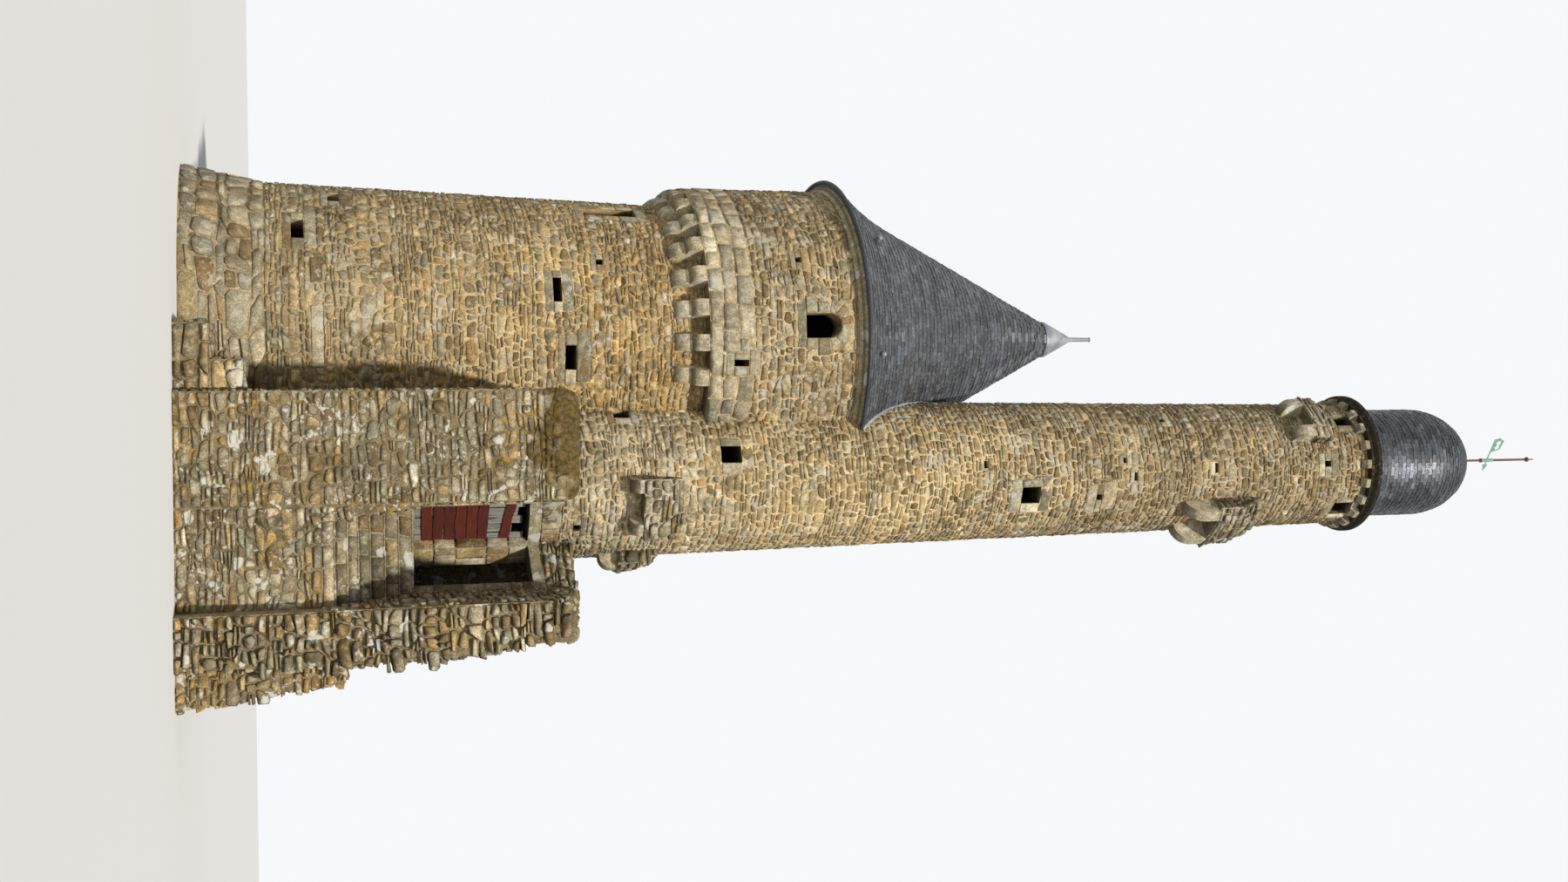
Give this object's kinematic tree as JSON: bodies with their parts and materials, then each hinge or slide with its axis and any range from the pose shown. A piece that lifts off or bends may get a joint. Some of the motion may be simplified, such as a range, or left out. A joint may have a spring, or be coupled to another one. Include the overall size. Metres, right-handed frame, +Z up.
{
  "type": "medieval tower with a corbelled round tower and a tall watch tower",
  "caption": "Ruined stone tower: a round corbelled tower under a slate cone, joined to a slender domed watch tower with an outside stair to its doorways.",
  "frame": {"origin": "the watch tower's axis at ground level", "axes": "+Z up, -Y the front where the stair climbs, +X the right-hand side seen from the front"},
  "size_m": [8.41, 8.3098, 26],
  "materials": {
    "grey_boards": "weathered silver boards",
    "red_planks": "faded red-brown paint on boards",
    "iron": "rusted wrought iron",
    "green_copper": "green weathered copper",
    "lead": "dull grey lead",
    "slate": "blue-grey slates",
    "dressed_stone": "weathered dressed granite",
    "floor_stone": "worn stone floor",
    "rubble_stone": "ochre and grey rubble in cream mortar"
  },
  "bodies": {
    "masonry": {"box_remains_high_left": "rubble_stone", "box_remains_high_right": "rubble_stone", "box_remains_low_front": "rubble_stone", "box_remains_low_right": "rubble_stone", "chamber_back_wall": "rubble_stone", "chamber_base": "rubble_stone", "chamber_right_wall": "rubble_stone", "chamber_roof": "rubble_stone", "door_lintel": "dressed_stone", "door_pins": "iron", "door_sill": "dressed_stone", "finial_rod": "iron", "flank_wall": "rubble_stone", "footing_stub": "rubble_stone", "gallery_corbels": "dressed_stone", "gallery_slab": "rubble_stone", "gallery_wall_ashlar": "rubble_stone", "gallery_wall_back": "rubble_stone", "gallery_wall_upper": "rubble_stone", "gate_jambs": "dressed_stone", "gate_lintel": "dressed_stone", "return_wall": "rubble_stone", "roof_lead_cap": "lead", "round_tower_cornice": "dressed_stone", "round_tower_first_floor": "floor_stone", "round_tower_plinth": "rubble_stone", "round_tower_roof": "slate", "round_tower_wall_low": "rubble_stone", "round_tower_wall_low_back": "rubble_stone", "round_tower_wall_middle": "rubble_stone", "round_tower_wall_middle_back": "rubble_stone", "stair_buttress": "rubble_stone", "stair_core": "rubble_stone", "stair_landing": "dressed_stone", "stair_parapet": "rubble_stone", "stair_steps": "dressed_stone", "watch_room_floor": "floor_stone", "watch_room_wall": "rubble_stone", "watch_tower_back_high": "rubble_stone", "watch_tower_back_low": "rubble_stone", "watch_tower_cornice": "dressed_stone", "watch_tower_dome": "slate", "watch_tower_door_wall_left": "rubble_stone", "watch_tower_door_wall_right": "rubble_stone", "watch_tower_foot": "rubble_stone", "watch_tower_modillions": "dressed_stone", "watch_tower_wall_low": "rubble_stone", "watch_tower_wall_middle": "rubble_stone", "watch_tower_wall_upper": "rubble_stone"},
    "door_leaf": {"door_boards": "grey_boards", "door_planks": "red_planks", "door_straps": "iron"},
    "weather_vane": {"vane_arrow": "green_copper", "vane_sleeve": "green_copper"}
  },
  "joints": [
    {"name": "door_hinge", "type": "hinge", "parent": "masonry", "child": "door_leaf", "pos_m": [0.2453, -1.16741, 3.54], "axis": [0, 0, 1], "range_deg": [0, 90]},
    {"name": "vane_turn", "type": "hinge", "parent": "masonry", "child": "weather_vane", "pos_m": [0, 0, 24.88], "axis": [0, 0, 1], "continuous": true}
  ]
}
